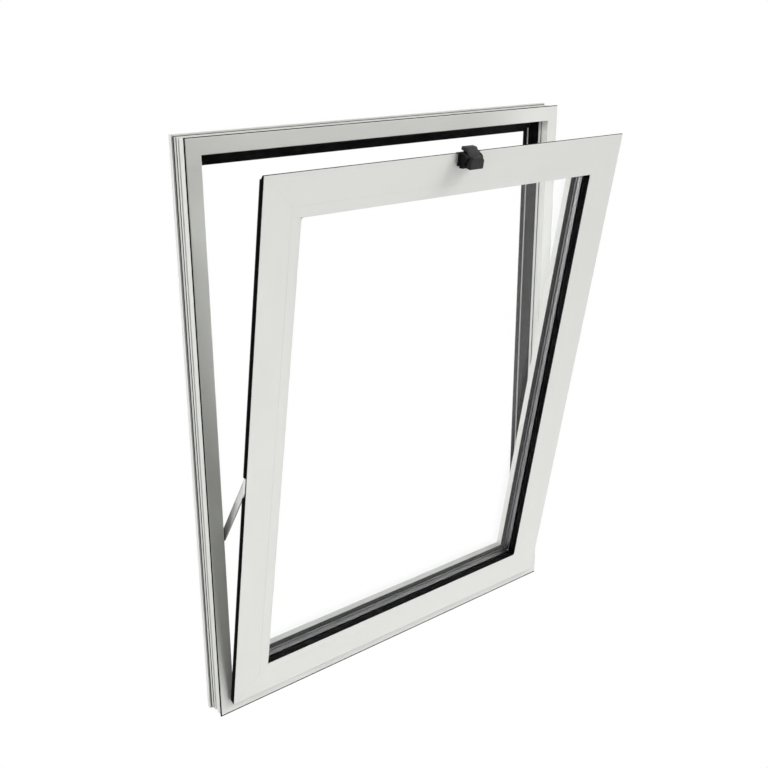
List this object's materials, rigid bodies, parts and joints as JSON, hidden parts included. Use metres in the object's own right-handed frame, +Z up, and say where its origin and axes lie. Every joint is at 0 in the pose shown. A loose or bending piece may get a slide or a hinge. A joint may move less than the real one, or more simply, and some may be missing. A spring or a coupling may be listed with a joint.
{
  "type": "hopper window",
  "caption": "White aluminium hopper window: thermally broken frame and a double-glazed bottom-hung sash that tilts into the room on hinges, with side stays and a top latch.",
  "frame": {"origin": "middle of the sill's underside, on the flat land behind its front groove", "axes": "+X along the width, +Y from the room to the outside, +Z up"},
  "size_m": [1.008, 0.3012, 1.258],
  "materials": {
    "white_paint": "satin powder coat",
    "white_hinge": "satin powder coat",
    "black_polyamide": "matt",
    "black_rubber": "matt",
    "clear_glass": "clear",
    "spacer_metal": "mill",
    "stay_steel": "brushed",
    "latch_plastic": "satin"
  },
  "bodies": {
    "frame": {"sill_inner": "white_paint", "sill_outer": "white_paint", "right_jamb_inner": "white_paint", "right_jamb_outer": "white_paint", "head_inner": "white_paint", "head_outer": "white_paint", "left_jamb_inner": "white_paint", "left_jamb_outer": "white_paint", "frame_thermal_break": "black_polyamide", "frame_centre_gasket": "black_rubber", "frame_stop_gasket": "black_rubber", "hinge_left_frame_leaf": "white_hinge", "hinge_right_frame_leaf": "white_hinge", "stay_left_bracket": "stay_steel", "stay_right_bracket": "stay_steel"},
    "sash": {"sash_bottom_rail_inner": "white_paint", "sash_bottom_rail_outer": "white_paint", "sash_right_stile_inner": "white_paint", "sash_right_stile_outer": "white_paint", "sash_top_rail_inner": "white_paint", "sash_top_rail_outer": "white_paint", "sash_left_stile_inner": "white_paint", "sash_left_stile_outer": "white_paint", "bead_bottom": "white_paint", "bead_right": "white_paint", "bead_top": "white_paint", "bead_left": "white_paint", "sash_thermal_break": "black_polyamide", "sash_overlap_gasket": "black_rubber", "glazing_gasket_inner": "black_rubber", "glazing_gasket_outer": "black_rubber", "pane_inner": "clear_glass", "pane_outer": "clear_glass", "glass_spacer": "spacer_metal", "hinge_left_sash_leaf": "white_hinge", "hinge_right_sash_leaf": "white_hinge", "stay_left_track": "stay_steel", "stay_right_track": "stay_steel", "latch_base": "latch_plastic"},
    "latch": {"latch_rocker": "latch_plastic", "latch_thumb": "latch_plastic"},
    "left_stay": {"stay_left_arm": "stay_steel"},
    "right_stay": {"stay_right_arm": "stay_steel"}
  },
  "joints": [
    {"name": "sash_tilt", "type": "hinge", "parent": "frame", "child": "sash", "pos_m": [0, -0.0154, 0.022], "axis": [1, 0, 0], "range_deg": [-10, 0]},
    {"name": "left_stay_swing", "type": "hinge", "parent": "frame", "child": "left_stay", "pos_m": [-0.463, 0, 0.424], "axis": [1, 0, 0], "range_deg": [-30.9, 0]},
    {"name": "right_stay_swing", "type": "hinge", "parent": "frame", "child": "right_stay", "pos_m": [0.463, 0, 0.424], "axis": [1, 0, 0], "range_deg": [-30.9, 0]},
    {"name": "latch_rock", "type": "hinge", "parent": "sash", "child": "latch", "pos_m": [0.0015, -0.24347, 1.19624], "axis": [1, 0, 0], "range_deg": [0, 15], "stiffness_Nm_per_rad": 0.15, "springref_deg": -17.19}
  ],
  "couplings": [
    {"joint": "left_stay_swing", "follows": "sash_tilt", "ratio": 3.0901},
    {"joint": "right_stay_swing", "follows": "sash_tilt", "ratio": 3.0901}
  ]
}
